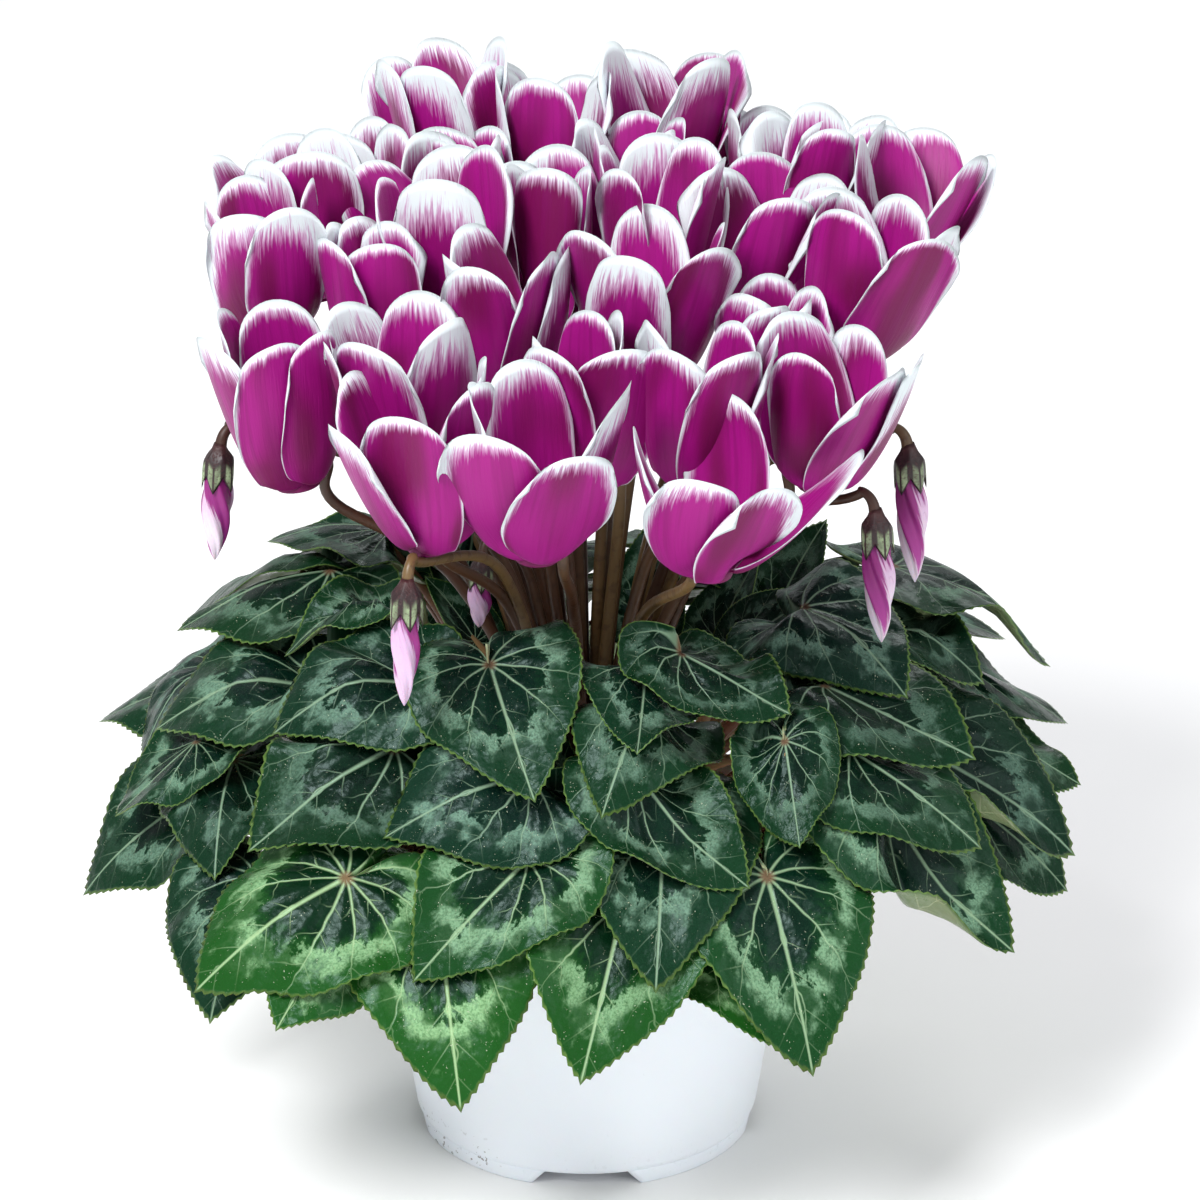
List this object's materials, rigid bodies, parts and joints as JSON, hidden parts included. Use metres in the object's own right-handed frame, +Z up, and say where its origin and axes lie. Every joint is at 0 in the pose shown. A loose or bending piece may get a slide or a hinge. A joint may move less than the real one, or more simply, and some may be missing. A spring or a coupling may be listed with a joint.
{
  "type": "potted cyclamen",
  "caption": "Cyclamen in flower in a plain white nursery pot: a dome of marbled heart-shaped leaves under a dense head of reflexed magenta blooms with white edges.",
  "frame": {"origin": "on the table under the middle of the plant, which is the pot's axis to within about a millimetre", "axes": "+Z up along the pot's axis, -Y towards the front of the plant as pictured, +X to its right"},
  "size_m": [0.299, 0.2585, 0.3111],
  "materials": {
    "pot": "smooth white, slightly cool, satin",
    "soil": "dark crumbly peat",
    "stalk": "dull red-brown, slightly fleshy",
    "petal": "magenta with white feathered edges, velvety",
    "bud": "pale pink to magenta, rolled petals",
    "leaf": "dark green marbled with silver, leathery"
  },
  "bodies": {
    "root": {"pot": "pot", "soil": "soil", "tuber_and_flower_stalks": "stalk", "bloom_a": "petal", "bloom_b": "petal", "bloom_c": "petal", "bloom_d": "petal", "bloom_e": "petal", "bloom_f": "petal", "bloom_g": "petal", "bloom_h": "petal", "bloom_i": "petal", "bloom_j": "petal", "bloom_k": "petal", "bloom_l": "petal", "bloom_m": "petal", "bloom_n": "petal", "bloom_o": "petal", "bloom_p": "petal", "bloom_q": "petal", "bloom_r": "petal", "bloom_s": "petal", "bloom_t": "petal", "bloom_u": "petal", "bloom_v": "petal", "bloom_w": "petal", "bloom_x": "petal", "bloom_y": "petal", "bloom_z": "petal", "bloom_za": "petal", "bloom_zb": "petal", "bud_a": "bud", "bud_b": "bud", "bud_c": "bud", "bud_d": "bud", "bud_e": "bud", "leaves_01": "leaf", "leaves_02": "leaf", "leaves_03": "leaf", "leaves_04": "leaf", "leaves_05": "leaf", "leaves_06": "leaf", "leaves_07": "leaf", "leaves_08": "leaf", "leaves_09": "leaf", "leaves_10": "leaf", "leaves_11": "leaf", "leaves_12": "leaf", "leaves_13": "leaf", "leaves_14": "leaf", "leaves_15": "leaf", "leaves_16": "leaf", "leaves_17": "leaf", "leaves_18": "leaf", "leaves_19": "leaf", "leaves_20": "leaf", "leaves_21": "leaf", "leaves_22": "leaf", "leaves_23": "leaf"}
  },
  "joints": []
}
